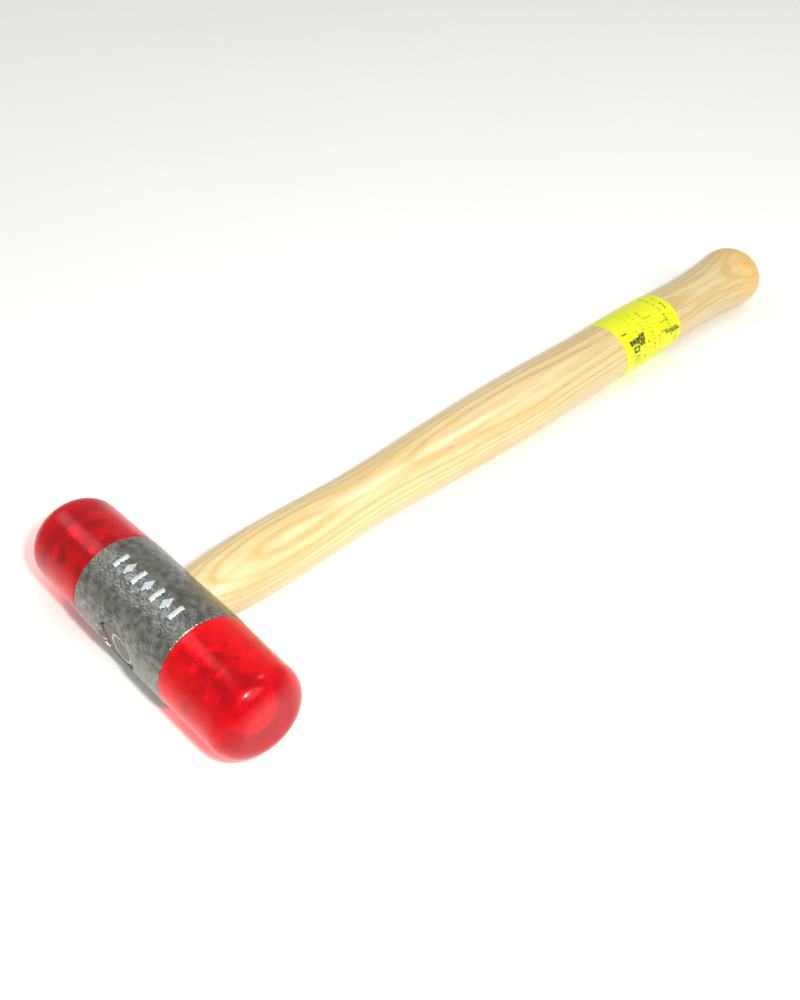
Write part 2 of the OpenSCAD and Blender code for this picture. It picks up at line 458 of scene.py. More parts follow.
def obround_trumpet(rings):
    """A closed cutter along local Z from (end radius, height) pairs, with obround rings."""
    corner = 24
    points, faces = [], []
    for radius, height in rings:
        for side in (1, -1):
            for k in range(corner + 1):
                a = -math.pi / 2 + math.pi * k / corner + (0 if side > 0 else math.pi)
                x = side * EYE_OFFSET + radius * math.cos(a)
                points.append(Vector((x, radius * math.sin(a), height)))
    count = 2 * (corner + 1)
    for ring in range(len(rings) - 1):
        for k in range(count):
            j = (k + 1) % count
            low, high = ring * count, (ring + 1) * count
            faces.append((low + k, low + j, high + j, high + k))
    faces.append(tuple(reversed(range(count))))
    faces.append(tuple(range((len(rings) - 1) * count, len(rings) * count)))
    return points, faces


HANDLE_STATIONS = [
    (8, 9.5), (24, 11.4), (42, 12.05), (82, 11.1), (120, 12.5), (155, 13.3),
    (200, 12.75), (235, 12.6), (270, 11.85), (286, 12.75), (297, 13.9),
]


def handle_half_width(distance):
    """Half width of the handle in metres at a distance from the head's centre."""
    y = distance / MM
    last = len(HANDLE_STATIONS) - 1
    i = max(k for k in range(last) if k == 0 or HANDLE_STATIONS[k][0] <= y)

    def slope(k):
        if k == last:
            return 0.0
        (y0, r0), (y1, r1) = HANDLE_STATIONS[max(k - 1, 0)], HANDLE_STATIONS[k + 1]
        return (r1 - r0) / (y1 - y0)

    (y0, r0), (y1, r1) = HANDLE_STATIONS[i], HANDLE_STATIONS[i + 1]
    span = y1 - y0
    t = (y - y0) / span
    return MM * (
        (2 * t**3 - 3 * t**2 + 1) * r0
        + (t**3 - 2 * t**2 + t) * span * slope(i)
        + (3 * t**2 - 2 * t**3) * r1
        + (t**3 - t**2) * span * slope(i + 1)
    )


def casting_outline():
    """Half of the casting's outline, from the web between the sockets out to its middle ring."""
    end, rounding = casting_half, END_ROUNDING
    half = [
        (0, end - SOCKET_DEPTH - 0.8 * MM),
        (SOCKET_RADIUS * 0.9, end - SOCKET_DEPTH),
        (SOCKET_RADIUS, end - SOCKET_DEPTH + 0.4 * MM),
        (SOCKET_RADIUS, end - SOCKET_COUNTERSINK),
        (SOCKET_RADIUS + SOCKET_COUNTERSINK, end),
        (SOCKET_RADIUS + SOCKET_COUNTERSINK + 0.2 * MM, end),
        (casting_radius * 0.7, end),
        (casting_radius - rounding - 0.2 * MM, end),
    ]
    half += rounded(rounding, casting_radius - rounding, end - rounding, 90, 0, 6)
    skin = end - rounding
    rings = math.ceil(skin / SKIN_RING_STEP)
    half += [(casting_radius, skin * (1 - k / rings)) for k in range(1, rings)]
    return half


def make_casting():
    half = casting_outline()
    outline = [(r, -h) for r, h in half] + [(casting_radius, 0)] + [(r, h) for r, h in reversed(half)]
    along_x = Matrix.Rotation(math.radians(90), 4, "Y")
    points, faces = turned(outline, SKIN_SIDES, along_x)
    for point in points:
        outer = Vector((0, point.y, point.z))
        if outer.length > casting_radius - 0.01 * MM and point.z > -casting_radius * 0.97:
            lumps = noise.noise(point / SKIN_WAVE) + 0.5 * noise.noise(point / SKIN_WAVE * 2.3)
            point -= outer.normalized() * SKIN_UNEVENNESS * (0.8 - lumps) * 0.6
    casting = mesh_piece("casting", points, faces, Matrix.Identity(4))
    outwards(casting)

    marks = blank_piece("foundry_marks")
    modifier_inputs(
        marks,
        cast_marks_tree(),
        {
            "Count": MARK_COUNT,
            "Pitch": MARK_PITCH,
            "Tall": MARK_TALL,
            "Bar Width": BAR_WIDTH,
            "Lozenge Width": LOZENGE_WIDTH,
            "Height": MARK_HEIGHT,
            "Edge": MARK_EDGE,
            "Skin Radius": casting_radius - SKIN_UNEVENNESS / 2,
            "Lean": MARK_LEAN,
            "Material": zinc,
        },
    )
    bake_modifiers(marks)
    outwards(marks)
    combine(casting, marks, "UNION")

    mouth = []
    for k in range(9):
        a = math.pi / 2 * k / 8
        flare = EYE_MOUTH_FLARE * (1 - math.sin(a))
        depth = EYE_MOUTH_DEPTH * (1 - math.cos(a))
        mouth.append((EYE_RADIUS + flare, -casting_radius + depth))
    mouth.insert(0, (EYE_RADIUS + EYE_MOUTH_FLARE, -casting_radius - 2 * MM))
    mouth.append((EYE_RADIUS, SEAT_STATION + 1 * MM))
    points, faces = obround_trumpet(mouth)
    eye = mesh_piece("eye_core", points, faces, along_y)
    outwards(eye)
    combine(casting, eye, "DIFFERENCE")

    seat_rings = [SEAT_STATION + (casting_radius + 3 * MM - SEAT_STATION) * k / 12 for k in range(13)]
    fit = 0.05 * MM
    outline = [(0, SEAT_STATION)] + [(handle_half_width(y) + fit, y) for y in seat_rings]
    outline.append((0, seat_rings[-1]))
    points, faces = turned(outline, 96, along_y @ Matrix.Diagonal((1, handle_oval, 1, 1)))
    seat = mesh_piece("seat_core", points, faces, Matrix.Identity(4))
    outwards(seat)
    combine(casting, seat, "DIFFERENCE")
    casting.data.transform(head_to_row)
    return casting


zinc = zinc_casting_material()
casting = make_casting()
finish_with(casting, zinc)
smooth(casting, 40)
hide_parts("head_housing")
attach(casting, "hammer")


# ---------------------------------------------------------------------------------------------
# Handle. Ash, turned and sanded to an oval section, then dipped in clear lacquer. It swells
# behind the head, in the palm and at the butt. Its tenon passes through the eye.
# ---------------------------------------------------------------------------------------------
HANDLE_END = 308 * MM
BUTT_FLAT = 1.5 * MM
HANDLE_SIDES = 112
HANDLE_RINGS = 280
TENON_RADIUS = 5.95 * MM
TENON_END = -14.9 * MM
WEDGE_RADIUS = 5.2 * MM
WEDGE_WALL = 1.0 * MM
WEDGE_LENGTH = 12 * MM
WEDGE_TAPER = 0.35 * MM
WEDGE_FIT = 0.02 * MM
WEDGE_AT = (1.8 * MM, -0.2 * MM)
PITH_BELOW = (24 * MM, 54 * MM)
RING_WIDTH = 1.3 * MM
RING_SWAY = 2.2 * MM
BUTT_GRAIN_LENGTH = 30 * MM


def turned_handle_tree():
    """Turns an outline, read off a curve, about the handle's axis into an oval solid."""
    tree = node_tree(
        "turned_handle",
        "GeometryNodeTree",
        [
            ("Geometry", "NodeSocketGeometry", None),
            ("Rings", "NodeSocketInt", 200),
            ("Sides", "NodeSocketInt", 96),
            ("Oval", "NodeSocketFloat", 0.88),
            ("Material", "NodeSocketMaterial", None),
        ],
        [("Geometry", "NodeSocketGeometry")],
    )
    wire = Wiring(tree)
    given = wire.given.outputs
    sheet = wire.add("GeometryNodeMeshGrid", {"Size X": 1.0, "Size Y": 1.0})
    wire.feed(sheet.inputs["Vertices X"], wire.maths("ADD", given["Sides"], 1.0))
    wire.feed(sheet.inputs["Vertices Y"], given["Rings"])
    place = wire.add("ShaderNodeSeparateXYZ", {"Vector": wire.add("GeometryNodeInputPosition")})
    turn = wire.maths("MULTIPLY", place.outputs["X"], 2 * math.pi)
    outline = wire.add("GeometryNodeSampleCurve", {"Curves": given["Geometry"]}, mode="FACTOR")
    wire.feed(outline.inputs["Factor"], wire.maths("ADD", place.outputs["Y"], 0.5))
    spot = wire.add("ShaderNodeSeparateXYZ", {"Vector": outline.outputs["Position"]})
    round_place = wire.add("ShaderNodeCombineXYZ", {"Y": spot.outputs["Y"]})
    width = wire.maths("MULTIPLY", spot.outputs["X"], wire.maths("COSINE", turn))
    wire.feed(round_place.inputs["X"], width)
    depth = wire.maths("MULTIPLY", spot.outputs["X"], wire.maths("SINE", turn))
    wire.feed(round_place.inputs["Z"], wire.maths("MULTIPLY", depth, given["Oval"]))
    solid = wire.add(
        "GeometryNodeSetPosition", {"Geometry": sheet.outputs["Mesh"], "Position": round_place}
    )
    closed = wire.add("GeometryNodeMergeByDistance", {"Geometry": solid, "Distance": 0.005 * MM})
    real = wire.add("GeometryNodeRealizeInstances", {"Geometry": closed})
    dressed = wire.add("GeometryNodeSetMaterial", {"Geometry": real, "Material": given["Material"]})
    wire.end(Geometry=dressed)
    return tree


def handle_template():
    """The turner's template: a curve of (half width, distance) from the seat to the butt."""
    stations = np.linspace(SEAT_STATION, butt_station, 240)
    outline = [(0.0, SEAT_STATION)] + [(handle_half_width(y), y) for y in stations]
    for k in range(1, 25):
        a = math.pi / 2 * k / 24
        width = BUTT_FLAT + (butt_half_width - BUTT_FLAT) * math.cos(a)
        outline.append((width, butt_station + (HANDLE_END - butt_station) * math.sin(a)))
    outline.append((0.0, HANDLE_END))
    data = bpy.data.curves.new("handle", "CURVE")
    data.dimensions = "3D"
    spline = data.splines.new("POLY")
    spline.points.add(len(outline) - 1)
    for point, (width, y) in zip(spline.points, outline):
        point.co = (width, y, 0, 1)
    template = bpy.data.objects.new("handle_template", data)
    bpy.context.scene.collection.objects.link(template)
    return template


def ash_material():
    """Flat-sawn ash under clear lacquer: growth rings cut into long loops where the handle swells, and
    the tenon's end darkened, partly end grain and partly painted shade.
    """
    material, wire, shader, place = new_material("lacquered_ash")
    centred = wire.add("ShaderNodeMapping", {"Vector": place})
    centred.inputs["Location"].default_value = (0, -head_centre.y, -head_centre.z)
    upright = wire.add("ShaderNodeMapping", {"Vector": centred})
    upright.inputs["Rotation"].default_value = (lie, 0, 0)
    spot = wire.add("ShaderNodeSeparateXYZ", {"Vector": upright})
    long_place = wire.add("ShaderNodeMapping", {"Vector": upright, "Scale": (1.0, 0.25, 1.0)})
    drift = wire.add("ShaderNodeTexNoise", {"Vector": long_place, "Scale": 55.0, "Detail": 1.0})
    sway = wire.maths("MULTIPLY", wire.maths("SUBTRACT", drift, 0.5), RING_SWAY)
    from_pith_x = wire.maths("ADD", spot.outputs["X"], PITH_BELOW[0])
    from_pith_z = wire.maths("ADD", spot.outputs["Z"], PITH_BELOW[1])
    square_x = wire.maths("POWER", from_pith_x, 2.0)
    square = wire.maths("ADD", square_x, wire.maths("POWER", from_pith_z, 2.0))
    rings = wire.maths("DIVIDE", wire.maths("ADD", wire.maths("SQRT", square), sway), RING_WIDTH)
    share = wire.maths("FRACT", rings)
    season = wire.ramp(share, (0.0, 0.35), (0.2, 0.05), (0.55, 0.1), (0.84, 0.9), (1.0, 0.35))
    fibre_place = wire.add("ShaderNodeMapping", {"Vector": upright, "Scale": (1.0, 0.02, 1.0)})
    fibre_values = {"Vector": fibre_place, "Scale": 2600.0, "Detail": 3.0, "Roughness": 0.6}
    fibre = wire.add("ShaderNodeTexNoise", fibre_values)
    streak_place = wire.add("ShaderNodeMapping", {"Vector": upright, "Scale": (1.0, 0.045, 1.0)})
    streak = wire.add("ShaderNodeTexNoise", {"Vector": streak_place, "Scale": 420.0, "Detail": 3.0})
    pore_place = wire.add("ShaderNodeMapping", {"Vector": upright, "Scale": (1.0, 0.06, 1.0)})
    pore = wire.add("ShaderNodeTexVoronoi", {"Vector": pore_place, "Scale": 2300.0}, feature="F1")
    early_wood = wire.ramp(share, (0.6, 0.0), (0.86, 1.0))
    every_pore = wire.ramp(pore.outputs["Distance"], (0.16, 1.0), (0.3, 0.0))
    open_pore = wire.maths("MULTIPLY", every_pore, early_wood)
    marks = add_marks(wire, place, 45.0, 700.0)
    wood = wire.blend(season, (0.71, 0.57, 0.31, 1), (0.57, 0.38, 0.12, 1))
    wood = wire.blend(wire.ramp(streak, (0.45, 0.0), (0.65, 0.7)), wood, (0.57, 0.40, 0.16, 1))
    dark_fibre = wire.maths("MULTIPLY", wire.ramp(fibre, (0.38, 1.0), (0.56, 0.0)), 0.25)
    wood = wire.blend(dark_fibre, wood, (0.42, 0.26, 0.09, 1))
    wood = wire.blend(wire.maths("MULTIPLY", open_pore, 0.6), wood, (0.32, 0.19, 0.06, 1))
    along = spot.outputs["Y"]
    butt_grain = wire.add("ShaderNodeMapRange", {"Value": along}, interpolation_type="SMOOTHSTEP")
    butt_grain.inputs["From Min"].default_value = HANDLE_END - BUTT_GRAIN_LENGTH
    butt_grain.inputs["From Max"].default_value = HANDLE_END
    wood = wire.blend(wire.maths("MULTIPLY", butt_grain.outputs[0], 0.85), wood, (0.78, 0.44, 0.06, 1))
    # The tenon's end in the eye is darkened nearly to black. This is partly the end grain's own darker
    # tone and partly painted shade in the recessed eye mouth.
    end_grain_and_shade = wire.maths("LESS_THAN", along, TENON_END + 0.3 * MM)
    wood = wire.blend(wire.maths("MULTIPLY", end_grain_and_shade, 0.9), wood, (0.10, 0.085, 0.08, 1))
    wire.feed(shader.inputs["Base Color"], wood)
    wire.feed(shader.inputs["Roughness"], wire.maths("MULTIPLY_ADD", fibre, 0.12, 0.42))
    wire.feed(shader.inputs["Coat Weight"], wire.maths("MULTIPLY_ADD", end_grain_and_shade, -0.7, 0.8))
    shader.inputs["Coat Roughness"].default_value = 0.2
    hollows = wire.maths("ADD", open_pore, marks.outputs["Scratch"])
    height = wire.maths("MULTIPLY_ADD", fibre, 0.25, wire.maths("MULTIPLY", hollows, -1.0))
    bump = wire.add("ShaderNodeBump", {"Strength": 0.6, "Distance": 0.03 * MM, "Height": height})
    wire.feed(shader.inputs["Normal"], bump)
    return material


def make_handle():
    handle = handle_template()
    modifier_inputs(
        handle,
        turned_handle_tree(),
        {"Rings": HANDLE_RINGS, "Sides": HANDLE_SIDES, "Oval": handle_oval, "Material": ash},
    )
    shown = handle.evaluated_get(bpy.context.evaluated_depsgraph_get())
    mesh = bpy.data.meshes.new_from_object(shown)
    bpy.data.objects.remove(handle)
    handle = bpy.data.objects.new("ash_handle", mesh)
    bpy.context.scene.collection.objects.link(handle)
    outwards(handle)

    edge = 0.5 * MM
    rings = [(TENON_RADIUS - edge, TENON_END), (TENON_RADIUS - 0.3 * edge, TENON_END + 0.3 * edge)]
    rings += [(TENON_RADIUS, TENON_END + edge), (TENON_RADIUS, SEAT_STATION + 1 * MM)]
    points, faces = obround_trumpet(rings)
    tenon = mesh_piece("tenon", points, faces, along_y)
    outwards(tenon)
    combine(handle, tenon, "UNION")
    slot = wedge_tube("wedge_slot", WEDGE_FIT, 1 * MM)
    combine(handle, slot, "DIFFERENCE")
    handle.data.transform(head_to_row)
    return handle


def wedge_tube(name, extra, lead=0.0):
    """The ring wedge's tapered tube in the head's frame, grown by extra and lengthened by lead."""
    outer, inner = WEDGE_RADIUS + extra, WEDGE_RADIUS - WEDGE_WALL - extra
    tip = outer - WEDGE_TAPER
    edge = 0.15 * MM
    top, bottom = -lead - extra, WEDGE_LENGTH + extra
    outline = [
        (inner + edge, top), (outer - edge, top), (outer, top + edge), (tip, bottom - edge * 4),
        (inner + 0.1 * MM, bottom), (inner, bottom - edge), (inner, top + edge), (inner + edge, top),
    ]
    move = Matrix.Translation((WEDGE_AT[0], TENON_END, WEDGE_AT[1])) @ along_y
    points, faces = turned(outline, 72, move)
    tube = mesh_piece(name, points, faces, Matrix.Identity(4))
    outwards(tube)
    return tube


ash = ash_material()
handle = make_handle()
finish_with(handle, ash)
smooth(handle, 35)
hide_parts("handle")
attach(handle, "hammer")


# ---------------------------------------------------------------------------------------------
# Ring wedge. A short length of tapered steel tube, driven into the tenon's end grain to spread
# it in the eye. Its outer rim is a little burred by the blows that drove it in.
# ---------------------------------------------------------------------------------------------
BURR = 0.06 * MM


def wedge_steel_material():
    """Bare mild steel, dull from handling, with brown specks of rust."""
    material, wire, shader, place = new_material("wedge_steel")
    cloud = wire.add("ShaderNodeTexNoise", {"Vector": place, "Scale": 700.0, "Detail": 5.0})
    marks = add_marks(wire, place, 300.0, 2500.0)
    rust = wire.ramp(cloud, (0.56, 0.0), (0.68, 1.0))
    colour = wire.blend(rust, (0.55, 0.54, 0.52, 1), (0.22, 0.11, 0.05, 1))
    wire.feed(shader.inputs["Base Color"], colour)
    wire.feed(shader.inputs["Metallic"], wire.maths("SUBTRACT", 1.0, wire.maths("MULTIPLY", rust, 0.8)))
    wire.feed(shader.inputs["Roughness"], wire.maths("MULTIPLY_ADD", rust, 0.4, 0.3))
    height = wire.maths("SUBTRACT", cloud, marks.outputs["Scratch"])
    bump = wire.add("ShaderNodeBump", {"Strength": 0.5, "Distance": 0.04 * MM, "Height": height})
    wire.feed(shader.inputs["Normal"], bump)
    return material


wedge = wedge_tube("ring_wedge_tube", 0.0)
for vertex in wedge.data.vertices:
    if vertex.co.y < TENON_END + 0.1 * MM:
        vertex.co.y += BURR * noise.noise(vertex.co / (1.3 * MM))
wedge.data.transform(head_to_row)
finish_with(wedge, wedge_steel_material())
smooth(wedge, 40)
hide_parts("ring_wedge")
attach(wedge, "hammer")


# ---------------------------------------------------------------------------------------------
# Label. One strip of glossy yellow paper, wrapped right round the handle below the butt. Its
# print is plain bars, dashes and a block, in black.
# ---------------------------------------------------------------------------------------------
LABEL_START = 210 * MM
LABEL_WIDTH = 35 * MM
LABEL_LIFT = 0.06 * MM
LABEL_THICK = 0.09 * MM
LABEL_LAP = math.radians(14)
LABEL_SEAM = math.radians(-118)
LABEL_GIRTH_RADIUS = 12.2 * MM
DASH_PITCH = 1.25 * MM
PRINTED_BARS = [
    (32.0, 34.4, 3.8, 12.6, 0.97), (30.4, 32.6, 8.4, 12.0, 0.9), (34.0, 35.2, 9.8, 13.4, 0.9),
    (28.6, 31.4, 4.8, 8.4, 0.92), (26.7, 27.3, 4.8, 8.2, 0.8), (25.3, 25.9, 4.8, 8.2, 0.7),
    (23.9, 24.4, 4.4, 9.4, 0.5), (22.5, 23.0, 4.4, 9.4, 0.4), (37.6, 38.4, 2.4, 5.4, 0.75),
    (29.0, 30.6, 25.0, 33.0, 0.75), (28.2, 29.4, 29.0, 34.0, 0.85), (30.4, 31.4, 22.5, 26.5, 0.6),
    (39.2, 39.7, 17.4, 22.4, 0.55), (34.4, 34.9, 24.0, 28.4, 0.6),
]
PRINTED_ROWS = [
    (36.0, 50.0, 9.6, 10.6, 0.3), (24.0, 30.0, 10.4, 11.8, 0.55), (35.6, 46.0, 13.4, 14.6, 0.28),
    (23.0, 31.0, 13.6, 15.0, 0.6), (22.0, 44.0, 17.0, 18.4, 0.4), (22.0, 31.0, 20.2, 21.6, 0.5),
    (27.0, 50.0, 27.6, 29.0, 0.55), (38.0, 48.0, 31.2, 32.4, 0.75), (22.0, 28.0, 30.6, 32.0, 0.4),
]


def label_paper_material():
    """Yellow paper printed with plain bars, a block, a box and rows of short dashes."""
    material, wire, shader, place = new_material("label_paper")
    spread = wire.add("ShaderNodeUVMap", uv_map="paper")
    spot = wire.add("ShaderNodeSeparateXYZ", {"Vector": spread})
    around, along = spot.outputs["X"], spot.outputs["Y"]

    def between(value, low, high):
        above = wire.maths("GREATER_THAN", value, low * MM)
        return wire.maths("MULTIPLY", above, wire.maths("LESS_THAN", value, high * MM))

    def patch(from_around, to_around, from_along, to_along):
        wide = between(around, from_around, to_around)
        return wire.maths("MULTIPLY", wide, between(along, from_along, to_along))

    ink = 0.0
    for a0, a1, b0, b1, strength in PRINTED_BARS:
        bar = wire.maths("MULTIPLY", patch(a0, a1, b0, b1), strength)
        ink = wire.maths("MAXIMUM", ink, bar)
    ink = wire.maths("MULTIPLY", ink, wire.maths("SUBTRACT", 1.0, patch(29.5, 30.5, 5.9, 7.3)))
    for row, (a0, a1, b0, b1, strength) in enumerate(PRINTED_ROWS):
        step = wire.maths("DIVIDE", around, DASH_PITCH)
        cell = wire.add("ShaderNodeCombineXYZ", {"Y": row * 7.0})
        wire.feed(cell.inputs["X"], wire.maths("FLOOR", step))
        chance = wire.add("ShaderNodeTexWhiteNoise", {"Vector": cell}, noise_dimensions="3D")
        dash = wire.maths("LESS_THAN", wire.maths("FRACT", step), chance.outputs[0])
        dash = wire.maths("MULTIPLY", wire.maths("MULTIPLY", dash, patch(a0, a1, b0, b1)), strength)
        ink = wire.maths("MAXIMUM", ink, dash)
    worn = wire.add("ShaderNodeTexNoise", {"Vector": place, "Scale": 1100.0, "Detail": 3.0})
    ink = wire.maths("MULTIPLY", ink, wire.ramp(worn, (0.35, 0.4), (0.5, 1.0)))
    tint = wire.add("ShaderNodeTexNoise", {"Vector": place, "Scale": 120.0, "Detail": 2.0})
    paper = wire.blend(tint, (0.64, 0.74, 0.0, 1), (0.76, 0.74, 0.0, 1))
    wire.feed(shader.inputs["Base Color"], wire.blend(ink, paper, (0.015, 0.025, 0.005, 1)))
    fibres = wire.add("ShaderNodeTexNoise", {"Vector": place, "Scale": 2600.0, "Detail": 2.0})
    wire.feed(shader.inputs["Roughness"], wire.maths("MULTIPLY_ADD", fibres, 0.15, 0.3))
    bump = wire.add("ShaderNodeBump", {"Strength": 0.4, "Distance": 0.02 * MM, "Height": fibres})
    wire.feed(shader.inputs["Normal"], bump)
    return material


def make_label():
    """A strip that follows the handle round once and laps over itself underneath."""
    turns, rows = 128, 36
    span = 2 * math.pi + LABEL_LAP
    points, faces, flat = [], [], []
    for i in range(turns + 1):
        angle = LABEL_SEAM + span * i / turns
        lift = LABEL_LIFT + (LABEL_THICK + 0.01 * MM) * min(1.0, max(0.0, (i / turns - 0.9) / 0.04))
        for j in range(rows + 1):
            y = LABEL_START + LABEL_WIDTH * j / rows
            radius = handle_half_width(y) + lift
            points.append(Vector((radius * math.cos(angle), y, radius * handle_oval * math.sin(angle))))
            flat.append((span * i / turns * LABEL_GIRTH_RADIUS, y - LABEL_START))
    for i in range(turns):
        for j in range(rows):
            a = i * (rows + 1) + j
            faces.append((a, a + rows + 1, a + rows + 2, a + 1))
    label = mesh_piece("paper_label", points, faces)
    spread = label.data.uv_layers.new(name="paper")
    for loop in label.data.loops:
        spread.data[loop.index].uv = flat[loop.vertex_index]
    wall = label.modifiers.new("paper", "SOLIDIFY")
    wall.thickness = LABEL_THICK
    wall.offset = 0.0
    bake_modifiers(label)
    return label


label = make_label()
finish_with(label, label_paper_material())
smooth(label, 50)
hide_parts("label")
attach(label, "hammer")


# ---------------------------------------------------------------------------------------------
# Studs. Turned steel, zinc plated: a screw thread for the housing below, and a shank with two
# knurled collars and a flat head above, which the plastic was moulded round.
# ---------------------------------------------------------------------------------------------
THREAD_RADIUS = 4.95 * MM
THREAD_LENGTH = 10.5 * MM
THREAD_PITCH = 1.5 * MM
THREAD_DEPTH = 0.85 * MM
THREAD_RINGS = 112
THREAD_SIDES = 80
SHANK_RADIUS = 3.9 * MM
COLLAR_RADIUS = 5.3 * MM
COLLAR_LENGTH = 2.6 * MM
FIRST_COLLAR = 3.4 * MM
COLLAR_PITCH = 6.4 * MM
COLLAR_COUNT = 2
KNURLS = 28
KNURL_DEPTH = 0.35 * MM
ANCHOR_RADIUS = 6.3 * MM
ANCHOR_THICK = 3.0 * MM
ANCHOR_TOP = 22 * MM


def screw_thread_tree():
    """A screw thread up local Z: a sheet rolled into a tube whose radius follows the helix."""
    tree = node_tree(
        "screw_thread",
        "GeometryNodeTree",
        [
            ("Geometry", "NodeSocketGeometry", None),
            ("Length", "NodeSocketFloat", 0.01),
            ("Pitch", "NodeSocketFloat", 0.0015),
            ("Crest Radius", "NodeSocketFloat", 0.005),
            ("Depth", "NodeSocketFloat", 0.0008),
            ("Rings", "NodeSocketInt", 100),
            ("Sides", "NodeSocketInt", 64),
            ("Material", "NodeSocketMaterial", None),
        ],
        [("Geometry", "NodeSocketGeometry")],
    )
    wire = Wiring(tree)
    given = wire.given.outputs
    sheet = wire.add("GeometryNodeMeshGrid", {"Size X": 1.0, "Size Y": 1.0})
    wire.feed(sheet.inputs["Vertices X"], wire.maths("ADD", given["Sides"], 1.0))
    wire.feed(sheet.inputs["Vertices Y"], given["Rings"])
    place = wire.add("ShaderNodeSeparateXYZ", {"Vector": wire.add("GeometryNodeInputPosition")})
    turn = wire.maths("ADD", place.outputs["X"], 0.5)
    up = wire.maths("MULTIPLY", wire.maths("ADD", place.outputs["Y"], 0.5), given["Length"])
    phase = wire.maths("SUBTRACT", wire.maths("DIVIDE", up, given["Pitch"]), turn)
    wave = wire.maths("PINGPONG", wire.maths("MULTIPLY", phase, 2.0), 1.0)
    flank = wire.add("ShaderNodeMapRange", {"Value": wave, "From Min": 0.1, "From Max": 0.88})
    lead_values = {"Value": up, "From Max": 1.2 * MM, "To Min": 1.25 * MM, "To Max": 0.0}
    lead_in = wire.add("ShaderNodeMapRange", lead_values)
    cut = wire.maths("MULTIPLY", flank.outputs[0], given["Depth"])
    radius = wire.maths("SUBTRACT", given["Crest Radius"], cut)
    led_radius = wire.maths("SUBTRACT", given["Crest Radius"], lead_in.outputs[0])
    radius = wire.maths("MINIMUM", radius, led_radius)
    angle = wire.maths("MULTIPLY", turn, 2 * math.pi)
    rolled = wire.add("ShaderNodeCombineXYZ", {"Z": up})
    wire.feed(rolled.inputs["X"], wire.maths("MULTIPLY", radius, wire.maths("COSINE", angle)))
    wire.feed(rolled.inputs["Y"], wire.maths("MULTIPLY", radius, wire.maths("SINE", angle)))
    tube = wire.add("GeometryNodeSetPosition", {"Geometry": sheet.outputs["Mesh"], "Position": rolled})
    seamless = wire.add("GeometryNodeMergeByDistance", {"Geometry": tube, "Distance": 0.005 * MM})
    real = wire.add("GeometryNodeRealizeInstances", {"Geometry": seamless})
    dressed = wire.add("GeometryNodeSetMaterial", {"Geometry": real, "Material": given["Material"]})
    wire.end(Geometry=dressed)
    return tree


def stud_steel_material():
    """Bright zinc plating on turned steel, with fine rings left by the lathe tool."""
    material, wire, shader, place = new_material("stud_steel")
    spot = wire.add("ShaderNodeSeparateXYZ", {"Vector": place})
    tool = wire.add("ShaderNodeTexNoise", {"Scale": 1.0, "Detail": 2.0}, noise_dimensions="1D")
    wire.feed(tool.inputs["W"], wire.maths("MULTIPLY", spot.outputs["X"], 5200.0))
    cloud = wire.add("ShaderNodeTexNoise", {"Vector": place, "Scale": 500.0, "Detail": 4.0})
    marks = add_marks(wire, place, 250.0, 2000.0)
    clouded = wire.ramp(cloud, (0.4, 0.0), (0.65, 1.0))
    colour = wire.blend(clouded, (0.78, 0.76, 0.70, 1), (0.62, 0.60, 0.52, 1))
    wire.feed(shader.inputs["Base Color"], colour)
    shader.inputs["Metallic"].default_value = 1.0
    rough = wire.maths("MULTIPLY_ADD", marks.outputs["Smudge"], 0.12, 0.26)
    wire.feed(shader.inputs["Roughness"], rough)
    bump = wire.add("ShaderNodeBump", {"Strength": 0.35, "Distance": 0.03 * MM, "Height": tool})
    wire.feed(shader.inputs["Normal"], bump)
    return material


def shank_outline():
    """Outline of the shank, its collars and its head, from inside the thread to the top."""
    edge = 0.25 * MM
    outline = [(0, -1.5 * MM), (SHANK_RADIUS, -1.5 * MM)]
    for k in range(COLLAR_COUNT):
        low = FIRST_COLLAR + k * COLLAR_PITCH
        high = low + COLLAR_LENGTH
        outline += [(SHANK_RADIUS, low), (COLLAR_RADIUS - edge, low), (COLLAR_RADIUS, low + edge)]
        outline += [(COLLAR_RADIUS, high - edge), (COLLAR_RADIUS - edge, high), (SHANK_RADIUS, high)]
    low = ANCHOR_TOP - ANCHOR_THICK
    outline += [(SHANK_RADIUS, low)] + rounded(edge, ANCHOR_RADIUS - edge, low + edge, -90, 0, 3)
    outline += rounded(edge, ANCHOR_RADIUS - edge, ANCHOR_TOP - edge, 0, 90, 3)
    return outline + [(1.2 * MM, ANCHOR_TOP), (0, ANCHOR_TOP - 0.8 * MM)]


def on_end(side):
    """From a piece's own frame, +Z outwards, to the front (1) or back (-1) end of the casting."""
    turn = Matrix.Rotation(side * math.radians(90), 4, "Y")
    return head_to_row @ turn @ Matrix.Translation((0, 0, casting_half))


